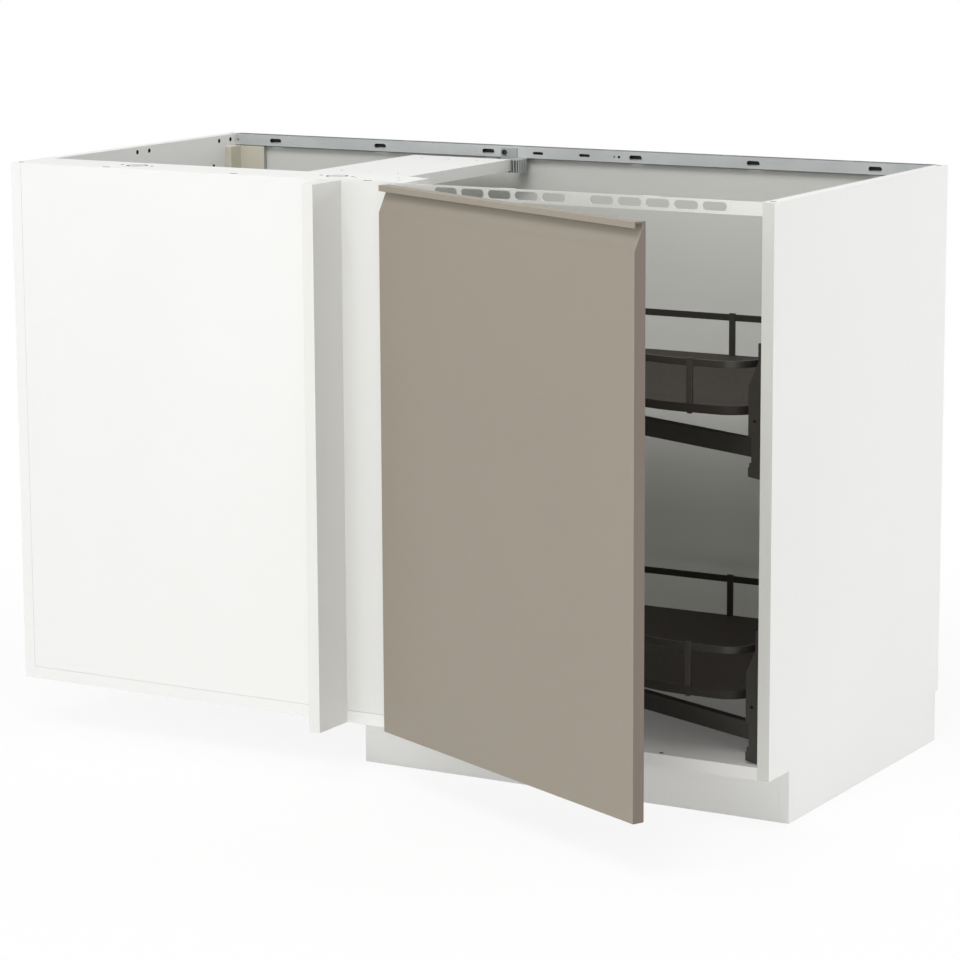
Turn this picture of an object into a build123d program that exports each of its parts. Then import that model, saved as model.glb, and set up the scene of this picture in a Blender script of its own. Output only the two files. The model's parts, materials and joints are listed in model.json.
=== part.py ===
from build123d import *
import math
import os

# Kitchen corner base cabinet with a swinging front and two pull-out trays.
# A blind panel closes the left half, a hinged door the right half. Behind the
# door two bean-shaped trays ride on arms that swing out of the cabinet.
#
# Sizes are in millimetres. The model is drawn in working coordinates:
# X to the right from the left side's outer face, Y back from the front of the
# carcass, Z up from the floor. The origin of the finished part is the middle
# of its footprint on the floor, with the door as far open as it is drawn.

os.makedirs("parts", exist_ok=True)

# Carcass
cabinet_width = 1275.0
cabinet_depth = 600.0
carcass_height = 800.0
leg_height = 80.0
board = 18.0
door_module = 600.0
strip_width = 85.0
filler_reach = 75.0
post_depth = 75.0
front_board_depth = 67.0
cross_board_width = 178.0
cross_board_gap = 119.0
back_thickness = 3.0
back_inset = 7.0
groove_depth = 6.0

# Suspension rail and what holds it
rail_height = 19.0
rail_thickness = 1.5
rail_lip = 18.0
rail_gap = 8.0
rail_slot_length = 22.0
rail_slot_width = 7.5
rail_slot_pitch = 201.5
rail_slot_inner = 131.5
rail_pattern_shift = -6.0
rail_slit_length = 19.0
rail_slit_width = 4.3
rail_slit_offset = 41.5
rail_small_hole = 2.2
rail_small_offset = 102.5
rail_bracket_width = 20.0
rail_bracket_depth = 27.0
rail_bracket_height = 21.0
rail_bracket_rib = 1.5
rail_tongue_low = 8.0
rail_tongue_top = 3.0
rail_tongue_end = 7.0
rail_bracket_wall = 2.0
rail_bracket_shift = 5.0
rail_bracket_screw_gap = 20.0
profile_side_leg = 29.0
profile_back_leg = 56.0
profile_thickness = 8.0

# Ventilated rail above the door
vent_thickness = 1.5
vent_height = 19.0
vent_flange = 20.0
vent_length = 37.0
vent_width = 12.0
vent_pitch = 43.3
vent_group_count = 5
vent_group_gap = 38.0
vent_tab_length = 25.0
vent_tab_offset = 112.0
vent_tab_depth = 6.0

# Round fittings, small fasteners and drilled holes
fitting_radius = 17.5
fitting_height = 2.0
fitting_left_gap = 182.0
fitting_right_gap = 121.0
fitting_y = 48.0
fitting_screw_offset = 27.0
fitting_screw_radius = 3.0
edge_fastener_length = 14.0
edge_fastener_width = 5.0
edge_fastener_depth = 1.0
blind_fastener_gaps = (153.5, 382.0)
strip_fastener_gap = 45.0
corner_fastener_inset = 14.0
side_hole_depth = 12.0
side_hole_radius = 3.5
side_hole_places = ((303.6, 8.5), (336.0, 8.5), (534.0, 8.5), (567.0, 8.5), (517.0, 49.0))
board_hole_radius = 2.0
board_hole_depth = 9.0
cross_hole_pitch = 50.0
cross_hole_rows = (278.0, 515.0)
floor_hole_radius = 3.5
floor_hole_inset = 8.0
floor_hole_from_side = 152.0
dowel_radius = 4.0
dowel_length = 30.0
dowel_in_side = 12.0
dowel_places = (50.0, 300.0, 540.0)

# Legs and plinth
leg_plate = 62.0
leg_plate_thickness = 4.0
leg_radius = 20.0
leg_tube_bottom = 22.0
foot_stem_radius = 14.0
foot_radius = 26.0
foot_thickness = 6.0
foot_fit = 0.05
foot_gap = 1.0
leg_back_inset = 55.0
leg_left_inset = 60.0
plinth_thickness = 16.0
plinth_setback = 75.0
plinth_side_setback = 4.0
plinth_left = 575.0
plinth_floor_gap = 1.0
plinth_clip_wall = 3.0
plinth_clip_height = 20.0
plinth_clip_plate = 40.0
plinth_clip_web = 16.0

# Door
door_width = 597.0
door_height = 797.0
door_thickness = 18.0
door_reveal = 1.5
door_gap = 2.0
door_open_angle = 25.2
door_rounding = 1.0
swing_axis_out = 17.0
swing_axis_in = 11.9
grip_lip = 8.5
grip_wall = 2.0
grip_depth = 13.0
grip_height = 39.0
bumper_radius = 4.0
bumper_thickness = 1.5
bumper_inset = 12.0

# Concealed hinges
hinge_heights = (330.0, 780.0)
cup_radius = 17.5
cup_depth = 12.0
cup_wall = 1.2
cup_edge = 4.0
cup_wing_length = 62.0
cup_wing_width = 16.0
cup_wing_shift = 6.0
cup_notch_depth = 5.0
cup_notch_play = 0.6
cup_screw_pitch = 48.0
cup_screw_radius = 3.2
cup_screw_head = 1.0
pin_edge = 8.6
pin_front = 10.0
pin_radius = 1.1
pin_half_length = 8.5
link_thickness = 1.6
link_half_width = 5.5
link_fit = 0.05
link_knuckle = 2.0
link_first_length = 11.0
link_first_angle = 20.0
link_end_edge = 25.0
link_end_front = 46.0
link_pin_half_length = 7.4
hinge_arm_length = 67.0
hinge_arm_start = 1.0
hinge_arm_height = 19.8
hinge_arm_inner = 8.0
hinge_arm_wall = 1.5
hinge_plate_thickness = 4.0
hinge_plate_length = 40.0
hinge_plate_height = 50.0
hinge_plate_start = 26.0
hinge_plate_screw_pitch = 32.0

# Pull-out levels
tray_levels = {"lower": 195.0, "upper": 595.0}
tray_thickness = 12.5
tray_edge_thickness = 1.2
tray_front_gap = 22.0
tray_side_gap = 31.0
tray_width = 681.0
tray_depth = 433.0
tray_front_length = 166.0
tray_waist_from_right = 426.0
tray_lobe_depth = 260.0
tray_left_skew = 7.0
tray_front_radius = 45.0
tray_shoulder_radius = 250.0
tray_waist_radius = 170.0
tray_left_front_radius = 95.0
tray_left_back_radius = 150.0
tray_right_back_radius = 175.0
gallery_height = 62.0
gallery_bar_height = 10.0
gallery_bar_thickness = 3.0
gallery_inset = 1.5
post_width = 9.5
post_thickness = 5.0
post_cap = 1.5
post_edge_gap = 0.5
post_stations = (0.085, 0.288, 0.43, 0.565, 0.64, 0.715, 0.845, 0.9415)
post_foot_length = 8.0
post_foot_width = 4.0
post_foot_height = 2.0

# Swing arms and their wall brackets
arm_pivot_side_gap = 18.0
arm_pivot_depth = 44.0
arm_length = 400.0
arm_angle = 157.85
arm_width = 12.0
arm_end_radius = 12.0
arm_height = 26.0
arm_wall = 2.5
arm_solid_end = 34.0
arm_below_tray = 33.0
arm_hub_radius = 17.0
arm_pin_radius = 5.0
arm_pin_fit = 0.05
arm_side_play = 0.3
tray_pin_radius = 8.0
tray_pin_length = 27.0
tray_collar_radius = 12.0
tray_flange_radius = 40.0
tray_flange_thickness = 3.0
bracket_reach = 25.0
bracket_rim_reach = 11.0
bracket_front = 14.0
bracket_back = 56.0
bracket_plate = 3.0
bracket_plate_back = 104.0
bracket_flange = 4.0
bracket_recess_reach = 20.0
bracket_recess_above = 7.5
bracket_recess_below = 3.5
bracket_tooth = 18.0
bracket_tooth_slope = 6.0
bracket_foot = 3.5
bracket_block_height = 70.7
bracket_slope_height = 32.5
bracket_tip_height = 26.5
bracket_ear_top = 30.0
bracket_hole_radius = 2.5
bracket_hole_height = 22.0
bracket_screw_radius = 2.0
bracket_screw_length = 12.0
bracket_head_radius = 4.0
bracket_head_height = 1.5
bracket_screw_inset = 14.0
bracket_screw_rows = (20.0, 95.0, 170.0)

# Places that follow from the sizes above
top = leg_height + carcass_height
floor_top = leg_height + board
right_inner = cabinet_width - board
post_left = cabinet_width - door_module
post_right = post_left + board
filler_right = post_left - strip_width
filler_left = filler_right - board
back_front = cabinet_depth - back_inset - back_thickness
rail_front = back_front - rail_gap
rail_bottom = top - rail_height
rail_centre = cabinet_width / 2 + rail_pattern_shift
front_board_back = board + front_board_depth
cross_board_right = post_left - cross_board_gap
cross_board_left = cross_board_right - cross_board_width
vent_bottom = top - vent_height
door_left = cabinet_width - door_reveal - door_width
door_front = -door_gap - door_thickness
door_bottom = leg_height + door_reveal
swing_axis = (door_left - swing_axis_out, door_front + swing_axis_in)
arm_pivot = (right_inner - arm_pivot_side_gap, arm_pivot_depth)
arm_direction = math.radians(arm_angle)
tray_pivot = (
    arm_pivot[0] + arm_length * math.cos(arm_direction),
    arm_pivot[1] + arm_length * math.sin(arm_direction),
)
plinth_back = plinth_setback + plinth_thickness
plinth_side_inner = cabinet_width - plinth_side_setback - plinth_thickness
leg_stand_off = foot_radius + foot_gap


def opened(x, y):
    """A point of the closed door, turned with the door to where it is drawn."""
    angle = math.radians(-door_open_angle)
    dx, dy = x - swing_axis[0], y - swing_axis[1]
    return (
        swing_axis[0] + dx * math.cos(angle) - dy * math.sin(angle),
        swing_axis[1] + dx * math.sin(angle) + dy * math.cos(angle),
    )


foremost_y = opened(door_left + door_width, door_front)[1]
origin = (cabinet_width / 2, (cabinet_depth + foremost_y) / 2)


def block(x0, x1, y0, y1, z0, z1):
    corner = (Align.MIN, Align.MIN, Align.MIN)
    return Pos(x0, y0, z0) * Box(x1 - x0, y1 - y0, z1 - z0, align=corner)


def upright(x, y, z0, z1, radius):
    base = (Align.CENTER, Align.CENTER, Align.MIN)
    return Pos(x, y, z0) * Cylinder(radius, z1 - z0, align=base)


def along_y(x, z, y0, y1, radius):
    base = (Align.CENTER, Align.CENTER, Align.MIN)
    return Pos(x, y0, z) * Rot(-90, 0, 0) * Cylinder(radius, y1 - y0, align=base)


def along_x(y, z, x0, x1, radius):
    base = (Align.CENTER, Align.CENTER, Align.MIN)
    return Pos(x0, y, z) * Rot(0, 90, 0) * Cylinder(radius, x1 - x0, align=base)


def slot_through_y(x, z, y0, y1, length, width):
    return Pos(x, y0, z) * Rot(-90, 0, 0) * extrude(SlotOverall(length, width), y1 - y0)


def slot_through_z(x, y, z0, z1, length, width):
    return Pos(x, y, z0) * extrude(SlotOverall(length, width), z1 - z0)


def prism_along_x(points, x0, x1):
    """Extrude an outline given as (y, z) points from x0 to x1."""
    face = make_face(Polyline(*[(0, y, z) for y, z in points], close=True))
    return Pos(x0, 0, 0) * extrude(face, x1 - x0, dir=(1, 0, 0))


def prism_along_y(points, y0, y1):
    """Extrude an outline given as (x, z) points from y0 to y1."""
    face = make_face(Polyline(*[(x, 0, z) for x, z in points], close=True))
    return Pos(0, y0, 0) * extrude(face, y1 - y0, dir=(0, 1, 0))


def swung(shape):
    """Turn a piece drawn on the closed door to where the door stands."""
    return shape.rotate(Axis((*swing_axis, 0), (0, 0, 1)), -door_open_angle)


def save(name, shape):
    solids = shape.solids()
    placed = [Pos(-origin[0], -origin[1], 0) * solid for solid in solids]
    piece = placed[0] if len(placed) == 1 else Compound(placed)
    export_step(piece, f"parts/{name}.step")


def grouped(pieces):
    return Compound([solid for piece in pieces for solid in piece.solids()])


def dowels():
    left = [along_x(y, leg_height + board / 2, board - dowel_in_side,
                    board - dowel_in_side + dowel_length, dowel_radius) for y in dowel_places]
    right = [along_x(y, leg_height + board / 2, right_inner + dowel_in_side - dowel_length,
                     right_inner + dowel_in_side, dowel_radius) for y in dowel_places]
    return grouped(left + right)


def bracket_screw_points(tray_top):
    """Screw places (y, z) of one wall bracket."""
    start = tray_top - bracket_below_tray
    return [(bracket_plate_back - bracket_screw_inset, start + rise) for rise in bracket_screw_rows]


# Heights of a wall bracket, measured from its tray's top
arm_top_drop = tray_thickness + arm_below_tray
arm_bottom_drop = arm_top_drop + arm_height
recess_top_drop = arm_top_drop - bracket_recess_above
recess_bottom_drop = arm_bottom_drop + bracket_recess_below
bracket_below_tray = recess_bottom_drop + bracket_tooth + bracket_foot


def side_panel(outer, inner, hand):
    """One side; hand is +1 where the inner face looks along +X."""
    panel = block(min(outer, inner), max(outer, inner), 0, cabinet_depth, leg_height, top)
    groove_wall = inner - hand * groove_depth
    panel -= block(min(inner, groove_wall), max(inner, groove_wall),
                   back_front, back_front + back_thickness, leg_height, top)
    for y, drop in side_hole_places:
        end = inner - hand * side_hole_depth
        panel -= along_x(y, top - drop, min(inner, end), max(inner, end), side_hole_radius)
    panel -= dowels()
    panel -= corner_fasteners()
    return panel


def left_side_panel():
    return side_panel(0, board, 1)


def right_side_panel():
    panel = side_panel(cabinet_width, right_inner, -1) - vent_screws()
    for tray_top in tray_levels.values():
        panel -= bracket_screws(tray_top)
    return panel


def bottom_panel():
    hole_x = right_inner - floor_hole_from_side
    panel = block(board, right_inner, 0, back_front, leg_height, floor_top)
    panel -= upright(hole_x, floor_hole_inset, floor_top - board_hole_depth, floor_top, floor_hole_radius)
    return panel - dowels()


def back_panel():
    return block(board - groove_depth, right_inner + groove_depth,
                 back_front, back_front + back_thickness, leg_height, top - rail_thickness)


def edge_fasteners():
    places = [board + gap for gap in blind_fastener_gaps] + [post_left - strip_fastener_gap]
    return grouped([slot_through_z(x, board / 2, top - edge_fastener_depth, top,
                                   edge_fastener_length, edge_fastener_width)
                    for x in places])


def corner_fasteners():
    places = [(x, y) for x in (board / 2, cabinet_width - board / 2)
              for y in (corner_fastener_inset, cabinet_depth - corner_fastener_inset)]
    return grouped([slot_through_z(x, y, top - edge_fastener_depth, top,
                                   edge_fastener_width * 2, edge_fastener_width)
                    for x, y in places])


def blind_panel():
    return block(board, filler_left, 0, board, floor_top, top) - edge_fasteners()


def filler_panel():
    front = block(filler_left, filler_right, -filler_reach, 0, leg_height, top)
    return front + block(filler_left, filler_right, 0, board, floor_top, top)


def fixed_front_strip():
    return block(filler_right, post_left, 0, board, floor_top, top) - edge_fasteners()


def hinge_post():
    post = block(post_left, post_right, 0, post_depth, floor_top, top)
    return post - hinge_plate_screws() - vent_screws()


def top_front_board():
    panel = block(board, post_left, board, front_board_back, top - board, top)
    right_holes = ((filler_right + 2, 39), (post_left - 30, 68), (post_left - 8, 35))
    for x, y in right_holes:
        panel -= upright(x, y, top - board_hole_depth, top, board_hole_radius)
    for x in fitting_places():
        panel -= upright(x, fitting_y, top - fitting_height, top, fitting_radius)
    return panel - fitting_screws()


def top_cross_board():
    panel = block(cross_board_left, cross_board_right, board, rail_front - rail_bracket_depth,
                  top - 2 * board, top - board)
    middle = (cross_board_left + cross_board_right) / 2
    for y in cross_hole_rows:
        for step in (-1, 0, 1):
            panel -= upright(middle + step * cross_hole_pitch, y,
                             top - board - board_hole_depth, top - board, board_hole_radius)
    return panel


def fitting_places():
    return (board + fitting_left_gap, post_left - fitting_right_gap)


def round_fittings():
    rings = []
    for x in fitting_places():
        disc = upright(x, fitting_y, top - fitting_height, top, fitting_radius)
        disc -= slot_through_z(x, fitting_y, top - fitting_height / 2, top, fitting_radius, fitting_height)
        rings.append(disc)
    return grouped(rings)


def fitting_screws():
    return grouped([upright(x + side * fitting_screw_offset, fitting_y,
                            top - board_hole_depth, top, fitting_screw_radius)
                    for x in fitting_places() for side in (-1, 1)])


def suspension_rail():
    web = block(board, right_inner, rail_front, rail_front + rail_thickness, rail_bottom, top)
    lip = block(board, right_inner, rail_front, rail_front + rail_lip, top - rail_thickness, top)
    rail = web + lip
    middle = rail_bottom + rail_height / 2
    ends = (rail_front - 1, rail_front + rail_thickness + 1)
    for side in (-1, 1):
        for step in range(3):
            x = rail_centre + side * (rail_slot_inner + step * rail_slot_pitch)
            rail -= slot_through_y(x, middle, *ends, rail_slot_length, rail_slot_width)
        slit_x = rail_centre + side * rail_slit_offset
        rail -= slot_through_y(slit_x, middle, *ends, rail_slit_length, rail_slit_width)
        hole_x = rail_centre + side * rail_small_offset
        rail -= along_y(hole_x, middle, *ends, rail_small_hole)
    return rail - rail_bracket_screw()


def bracket_screw_x():
    return cross_board_right - rail_bracket_shift - rail_bracket_screw_gap


def rail_bracket():
    """Ribbed box that hangs on the rail and carries the cross board's back end."""
    left = cross_board_right - rail_bracket_shift
    right = left + rail_bracket_width
    low = top - board - rail_bracket_height
    front = rail_front - rail_bracket_depth
    box = block(left, right, front, rail_front, low, top - board)
    box -= block(left + rail_bracket_wall, right - rail_bracket_wall,
                 front - 1, rail_front - rail_bracket_wall,
                 low - 1, top - board - rail_bracket_wall)
    for step in (1, 2, 3):
        rib = left + step * rail_bracket_width / 4
        box += block(rib - rail_bracket_wall / 2, rib + rail_bracket_wall / 2,
                     front, rail_front, low, top - board)
        rib_y = front + step * rail_bracket_depth / 4
        box += upright(right, rib_y, low, top - board, rail_bracket_rib)
    tongue = block(bracket_screw_x() - rail_tongue_end, left + rail_bracket_wall,
                   rail_front - rail_bracket_wall, rail_front,
                   top - board - rail_tongue_low, top - rail_tongue_top)
    return box + tongue - rail_bracket_screw()


def rail_bracket_screw():
    x = bracket_screw_x()
    z = top - rail_height / 2
    head = along_y(x, z, rail_front - rail_bracket_wall - 3, rail_front - rail_bracket_wall, 4)
    shank = along_y(x, z, rail_front - rail_bracket_wall, rail_front + 6, 2)
    return head + shank


def corner_profile(wall, hand):
    """L-shaped profile in a back corner, under the suspension rail."""
    foot = floor_top
    side_end = wall + hand * (profile_thickness + 2)
    back_end = wall + hand * profile_back_leg
    side = block(min(wall, side_end), max(wall, side_end),
                 back_front - profile_thickness - profile_side_leg, back_front, foot, rail_bottom)
    back = block(min(wall, back_end), max(wall, back_end),
                 back_front - profile_thickness, back_front, foot, rail_bottom)
    return side + back


def vent_screws():
    """Two screws through the rail's end tabs, into the post and the right side."""
    y = vent_flange / 2
    z = vent_bottom + vent_height / 2
    left = along_x(y, z, post_right - 10, post_right + vent_thickness + 1, 2)
    right = along_x(y, z, right_inner - vent_thickness - 1, right_inner + 10, 2)
    return left + right


def ventilated_rail():
    face = block(post_right, right_inner, 0, vent_thickness, vent_bottom, top)
    flange = block(post_right, right_inner, 0, vent_flange, vent_bottom, vent_bottom + vent_thickness)
    rail = face + flange
    middle = (post_right + right_inner) / 2
    for side in (-1, 1):
        for step in range(vent_group_count):
            x = middle + side * ((vent_group_gap + vent_length) / 2 + step * vent_pitch)
            rail -= slot_through_y(x, vent_bottom + vent_height / 2 + 0.5, -1, vent_thickness + 1,
                                   vent_length, vent_width)
        tab_x = middle + side * vent_tab_offset
        rail += block(tab_x - vent_tab_length / 2, tab_x + vent_tab_length / 2,
                      0, vent_tab_depth, top - vent_thickness, top)
    rail += block(post_right, post_right + vent_thickness, 0, vent_flange, vent_bottom, top)
    rail += block(right_inner - vent_thickness, right_inner, 0, vent_flange, vent_bottom, top)
    return rail - vent_screws()


def leg_places():
    back_y = cabinet_depth - leg_back_inset
    front_y = plinth_back + leg_stand_off
    right_x = plinth_side_inner - leg_stand_off
    middle_x = plinth_left + leg_plate
    second_x = (leg_left_inset + middle_x) / 2
    return [(leg_left_inset, back_y), (second_x, back_y), (middle_x, back_y),
            (right_x, back_y), (middle_x, front_y), (right_x, front_y)]


def leg_sockets():
    legs = []
    for x, y in leg_places():
        plate = block(x - leg_plate / 2, x + leg_plate / 2, y - leg_stand_off, y + leg_plate / 2,
                      leg_height - leg_plate_thickness, leg_height)
        if abs(x - (plinth_side_inner - leg_stand_off)) < 1:
            plate = block(x - leg_plate / 2, plinth_side_inner, y - leg_stand_off, y + leg_plate / 2,
                          leg_height - leg_plate_thickness, leg_height)
        tube = upright(x, y, leg_tube_bottom, leg_height - leg_plate_thickness, leg_radius)
        bore = upright(x, y, leg_tube_bottom - 1, leg_height - 2 * leg_plate_thickness,
                       foot_stem_radius + foot_fit)
        legs.append(plate + tube - bore)
    return grouped(legs)


def leg_feet():
    feet = []
    for x, y in leg_places():
        pad = upright(x, y, 0, foot_thickness, foot_radius)
        pad = chamfer(pad.edges().group_by(Axis.Z)[-1], foot_thickness / 3)
        stem = upright(x, y, foot_thickness, leg_height - 4 * leg_plate_thickness, foot_stem_radius)
        feet.append(pad + stem)
    return grouped(feet)


def plinth_front():
    return block(plinth_left, plinth_side_inner, plinth_setback, plinth_back,
                 plinth_floor_gap, leg_height)


def plinth_side():
    return block(plinth_side_inner, plinth_side_inner + plinth_thickness, plinth_setback,
                 cabinet_depth, plinth_floor_gap, leg_height)


def plinth_clip(plate, web, x, y, mouth):
    """One clip: a plate behind the plinth, a web and an open ring round the leg."""
    low, high = plinth_clip_range()
    ring = upright(x, y, low, high, leg_radius + plinth_clip_wall) - mouth
    return plate + web + ring - upright(x, y, low, high, leg_radius)


def plinth_clip_range():
    low = (leg_tube_bottom + leg_height - leg_plate_thickness - plinth_clip_height) / 2
    return low, low + plinth_clip_height


def plinth_clips():
    """Clips that snap round the legs behind the plinth boards."""
    low, high = plinth_clip_range()
    back_y = cabinet_depth - leg_back_inset
    front_y = plinth_back + leg_stand_off
    right_x = plinth_side_inner - leg_stand_off
    outer = leg_radius + plinth_clip_wall
    half = plinth_clip_plate / 2
    half_web = plinth_clip_web / 2
    clips = []
    for x in (plinth_left + leg_plate, right_x):
        plate = block(x - half, x + half, plinth_back, plinth_back + plinth_clip_wall, low, high)
        web = block(x - half_web, x + half_web, plinth_back, front_y, low, high)
        mouth = block(x - outer, x + outer, front_y + leg_radius / 2, front_y + outer, low, high)
        clips.append(plinth_clip(plate, web, x, front_y, mouth))
    plate = block(plinth_side_inner - plinth_clip_wall, plinth_side_inner,
                  back_y - half, back_y + half, low, high)
    web = block(right_x, plinth_side_inner, back_y - half_web, back_y + half_web, low, high)
    mouth = block(right_x - outer, right_x - leg_radius / 2, back_y - outer, back_y + outer, low, high)
    clips.append(plinth_clip(plate, web, right_x, back_y, mouth))
    return grouped(clips)


def door_panel():
    """Door slab with a thin full-width lip and a finger recess along its top edge."""
    front, back = door_front, door_front + door_thickness
    low, high = door_bottom, door_bottom + door_height
    recess = front + grip_depth
    lip_back = front + grip_wall
    points = [(front, low), (back, low), (back, high), (front, high), (front, high - grip_lip),
              (lip_back, high - grip_lip), (lip_back, high - grip_wall), (recess, high - grip_wall),
              (recess, high - grip_lip), (front, high - grip_height)]
    slab = prism_along_x(points, door_left, door_left + door_width)
    long_edges = slab.edges().filter_by(Axis.X)
    rim = long_edges.group_by(Axis.Z)[0] + long_edges.group_by(Axis.Z)[-1]
    slab = fillet(rim, door_rounding)
    for z in hinge_heights:
        slab -= along_y(door_left + cup_edge + cup_radius, z, back - cup_depth, back, cup_radius)
    return slab - cup_screws()


def cup_screws():
    back = door_front + door_thickness
    x = door_left + cup_edge + cup_radius + cup_wing_shift
    screws = []
    for z in hinge_heights:
        for side in (-1, 1):
            screw_z = z + side * cup_screw_pitch / 2
            head = along_y(x, screw_z, back, back + cup_wall, cup_screw_radius)
            shank = along_y(x, screw_z, back - cup_depth, back, cup_screw_radius / 2)
            screws.append(head + shank)
    return grouped(screws)


def hinge_cups():
    back = door_front + door_thickness
    x = door_left + cup_edge + cup_radius
    cups = []
    for z in hinge_heights:
        cup = along_y(x, z, back - cup_depth, back, cup_radius)
        cup -= along_y(x, z, back - cup_depth + cup_wall, back, cup_radius - cup_wall)
        wing = Pos(x + cup_wing_shift, back, z) * Rot(-90, 0, 0)
        wing *= extrude(SlotOverall(cup_wing_length, cup_wing_width, rotation=90), cup_wall)
        wing -= along_y(x, z, back, back + cup_wall, cup_radius - cup_wall)
        half_notch = link_half_width + cup_notch_play
        notch = block(x - cup_radius, x, back - cup_notch_depth, back, z - half_notch, z + half_notch)
        cups.append(cup + wing - notch)
    return grouped(cups) - cup_screws() - cup_pins()


def cup_pins():
    return grouped([upright(door_left + pin_edge, door_front + pin_front,
                            z - pin_half_length, z + pin_half_length, pin_radius)
                    for z in hinge_heights])


def door_bumpers():
    back = door_front + door_thickness
    x = door_left + door_width - bumper_inset
    heights = (door_bottom + bumper_inset, door_bottom + door_height - bumper_inset)
    return grouped([along_y(x, z, back, back + bumper_thickness, bumper_radius) for z in heights])


def link_points():
    """Cup pin, knee and arm end of a hinge link, on the closed door."""
    start = (door_left + pin_edge, door_front + pin_front)
    angle = math.radians(link_first_angle)
    knee = (start[0] + link_first_length * math.cos(angle),
            start[1] + link_first_length * math.sin(angle))
    end = (door_left + link_end_edge, door_front + link_end_front)
    return start, knee, end


def hinge_links():
    start, knee, end = link_points()
    links = []
    for z in hinge_heights:
        low, high = z - link_half_width, z + link_half_width
        link = upright(*start, low, high, link_knuckle) + upright(*end, low, high, link_knuckle)
        link += upright(*knee, low, high, link_thickness / 2)
        for a, b in ((start, knee), (knee, end)):
            length = math.dist(a, b)
            turn = math.degrees(math.atan2(b[1] - a[1], b[0] - a[0]))
            flat = Pos(*a, low) * Rot(0, 0, turn)
            flat *= Box(length, link_thickness, high - low, align=(Align.MIN, Align.CENTER, Align.MIN))
            link += flat
        link -= upright(*start, low, high, pin_radius + link_fit)
        link -= upright(*end, low, high, pin_radius)
        links.append(link)
    return grouped(links)


def link_pins():
    end = link_points()[2]
    return grouped([upright(*end, z - link_pin_half_length, z + link_pin_half_length, pin_radius)
                    for z in hinge_heights])


def hinge_arms():
    """Channel-shaped arms that carry the links, open towards the post and the door."""
    left = post_right + hinge_plate_thickness
    right = left + hinge_arm_height
    back = hinge_arm_start + hinge_arm_length
    arms = []
    for z in hinge_heights:
        outer = hinge_arm_inner + hinge_arm_wall
        arm = block(left, right, hinge_arm_start, back, z - outer, z + outer)
        arm -= block(left, right - hinge_arm_wall, hinge_arm_start, back - hinge_arm_wall,
                     z - hinge_arm_inner, z + hinge_arm_inner)
        arms.append(arm)
    return grouped(arms)


def hinge_mounting_plates():
    start = hinge_plate_start
    plates = []
    for z in hinge_heights:
        core = block(post_right, post_right + hinge_plate_thickness, start, start + hinge_plate_length,
                     z - hinge_arm_inner - hinge_arm_wall, z + hinge_arm_inner + hinge_arm_wall)
        wings = block(post_right, post_right + hinge_plate_thickness,
                      start + hinge_plate_length / 4, start + hinge_plate_length * 3 / 4,
                      z - hinge_plate_height / 2, z + hinge_plate_height / 2)
        plates.append(core + wings)
    return grouped(plates) - hinge_plate_screws()


def hinge_plate_screws():
    y = hinge_plate_start + hinge_plate_length / 2
    face = post_right + hinge_plate_thickness
    screws = []
    for z in hinge_heights:
        for side in (-1, 1):
            screw_z = z + side * hinge_plate_screw_pitch / 2
            shank = along_x(y, screw_z, post_right - 12, face, cup_screw_radius / 2)
            screws.append(shank + along_x(y, screw_z, face, face + cup_screw_head, cup_screw_radius))
    return grouped(screws)


def tray_outline():
    """Bean-shaped outline of a tray inside the cabinet, seen from above."""
    right = right_inner - tray_side_gap
    left = right - tray_width
    front = tray_front_gap
    back = front + tray_depth
    waist_y = back - tray_lobe_depth
    corners = [
        (right, front), (right - tray_front_length, front),
        (right - tray_waist_from_right, waist_y), (left + tray_left_skew, waist_y),
        (left, back), (right, back),
    ]
    radii = [
        tray_front_radius, tray_shoulder_radius, tray_waist_radius,
        tray_left_front_radius, tray_left_back_radius, tray_right_back_radius,
    ]
    return make_face(FilletPolyline(*corners, radius=radii, close=True))


def shrunk(face, amount):
    return offset(face, amount=-amount)


def tray_board(tray_top):
    panel = extrude(shrunk(tray_outline(), tray_edge_thickness), tray_thickness)
    return Pos(0, 0, tray_top - tray_thickness) * panel


def tray_edge(tray_top):
    ring = tray_outline() - shrunk(tray_outline(), tray_edge_thickness)
    return Pos(0, 0, tray_top - tray_thickness) * extrude(ring, tray_thickness)


def gallery_rail(tray_top):
    inner = gallery_inset + gallery_bar_thickness
    ring = shrunk(tray_outline(), gallery_inset) - shrunk(tray_outline(), inner)
    return Pos(0, 0, tray_top + gallery_height - gallery_bar_height) * extrude(ring, gallery_bar_height)


def post_frames():
    """Middle and turn of each gallery post along the tray's rim."""
    path = shrunk(tray_outline(), post_edge_gap + post_thickness / 2).face().outer_wire()
    frames = []
    for station in post_stations:
        point = path.position_at(station)
        along = path.tangent_at(station)
        frames.append((point.X, point.Y, math.degrees(math.atan2(along.Y, along.X))))
    return frames


def gallery_posts(tray_top):
    posts = []
    for x, y, turn in post_frames():
        post = Box(post_width, post_thickness, gallery_height + post_cap,
                   align=(Align.CENTER, Align.CENTER, Align.MIN))
        post = fillet(post.edges().filter_by(Axis.Z), post_thickness / 4)
        posts.append(Pos(x, y, tray_top) * Rot(0, 0, turn) * post)
    return grouped(posts) - gallery_rail(tray_top)


def post_feet(tray_top):
    low = tray_top - tray_thickness - post_foot_height
    pad = extrude(SlotOverall(post_foot_length, post_foot_width), post_foot_height)
    return grouped([Pos(x, y, low) * Rot(0, 0, turn) * pad for x, y, turn in post_frames()])


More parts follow.
